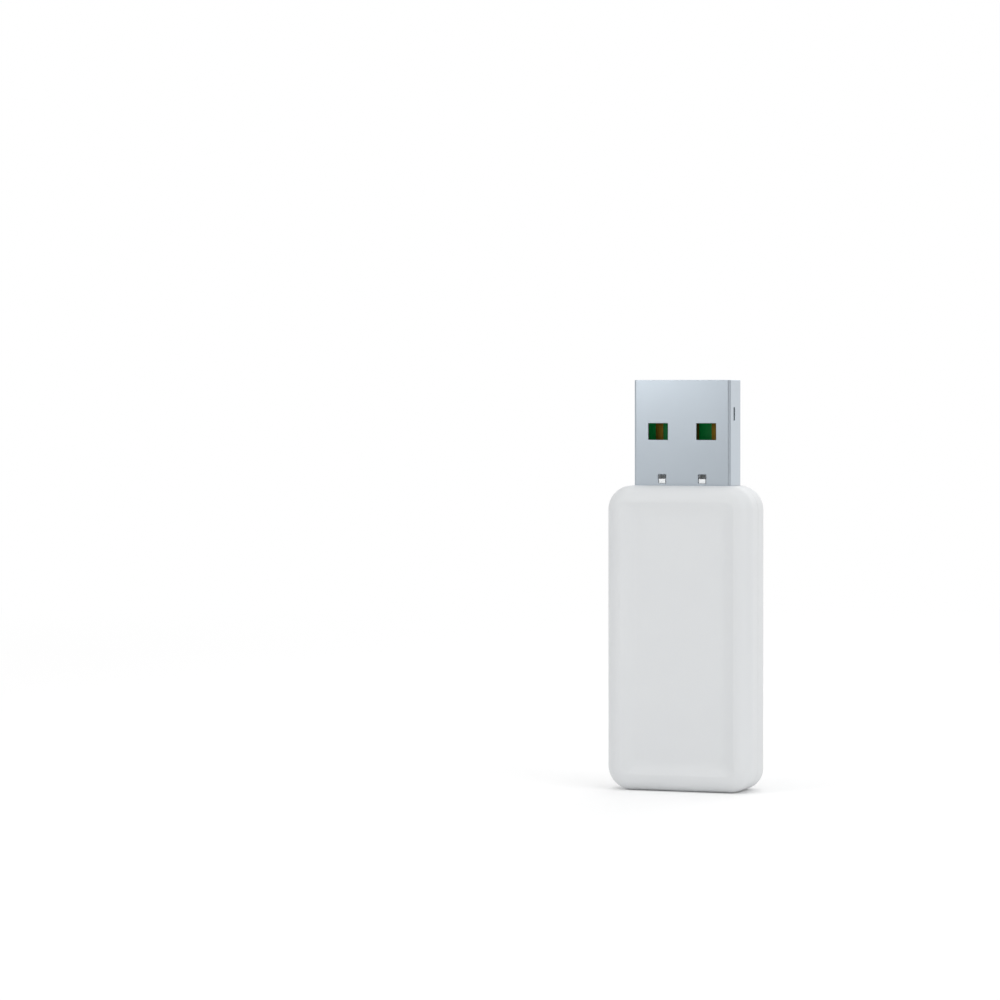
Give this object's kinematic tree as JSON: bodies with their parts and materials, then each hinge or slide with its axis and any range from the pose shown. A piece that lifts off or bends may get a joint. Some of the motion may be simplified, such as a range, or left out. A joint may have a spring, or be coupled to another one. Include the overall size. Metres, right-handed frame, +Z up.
{
  "type": "smart home usb radio stick",
  "caption": "Slim radio stick with a dished moulded housing and a folded metal plug, holding a board with two radios and their antennas.",
  "frame": {"origin": "middle of the housing's closed end, on the surface it stands on", "axes": "+Z up towards the plug's tip, +X to the right as seen from the dished front, and the dished front faces -Y"},
  "size_m": [0.018, 0.0084, 0.049],
  "materials": {
    "housing": "white ABS, moulded with a fine satin texture",
    "plug_steel": "nickel-plated sheet, satin",
    "carrier": "white glass-filled nylon, as moulded",
    "board": "green solder resist over glass-fibre laminate",
    "gold": "gold plating over nickel",
    "antenna_strip": "gold-flashed bronze strip, stamped and folded",
    "shield_steel": "tin-plated sheet",
    "chip": "black moulded epoxy",
    "crystal_can": "plated lid on a ceramic tray",
    "capacitor": "tan fired ceramic with tinned ends",
    "resistor": "black glaze with tinned ends",
    "inductor": "grey-blue fired ceramic with tinned ends",
    "ceramic_antenna": "white ceramic with tinned ends",
    "fuse": "green laminate with tinned ends"
  },
  "bodies": {
    "root": {"front_shell": "housing", "rear_shell": "housing", "plug_shell": "plug_steel", "plug_carrier": "carrier", "main_board": "board", "contact_power": "gold", "contact_data_minus": "gold", "contact_data_plus": "gold", "contact_ground": "gold", "stamped_antenna": "antenna_strip", "long_range_radio_chip": "chip", "long_range_crystal": "crystal_can", "radio_shield": "shield_steel", "antenna_filter": "crystal_can", "voltage_regulator": "chip", "resettable_fuse": "fuse", "ferrite_bead": "resistor", "bulk_capacitor_1": "capacitor", "bulk_capacitor_2": "capacitor", "mesh_radio_chip": "chip", "mesh_crystal": "crystal_can", "mesh_antenna": "ceramic_antenna", "usb_serial_chip": "chip", "surge_protector": "chip", "matching_inductor_1": "inductor", "matching_inductor_2": "inductor", "matching_inductor_3": "inductor", "decoupling_capacitor_1": "capacitor", "decoupling_capacitor_2": "capacitor", "decoupling_capacitor_3": "capacitor", "decoupling_capacitor_4": "capacitor", "decoupling_capacitor_5": "capacitor", "decoupling_capacitor_6": "capacitor", "signal_resistor_1": "resistor", "signal_resistor_2": "resistor", "signal_resistor_3": "resistor", "signal_resistor_4": "resistor"}
  },
  "joints": []
}
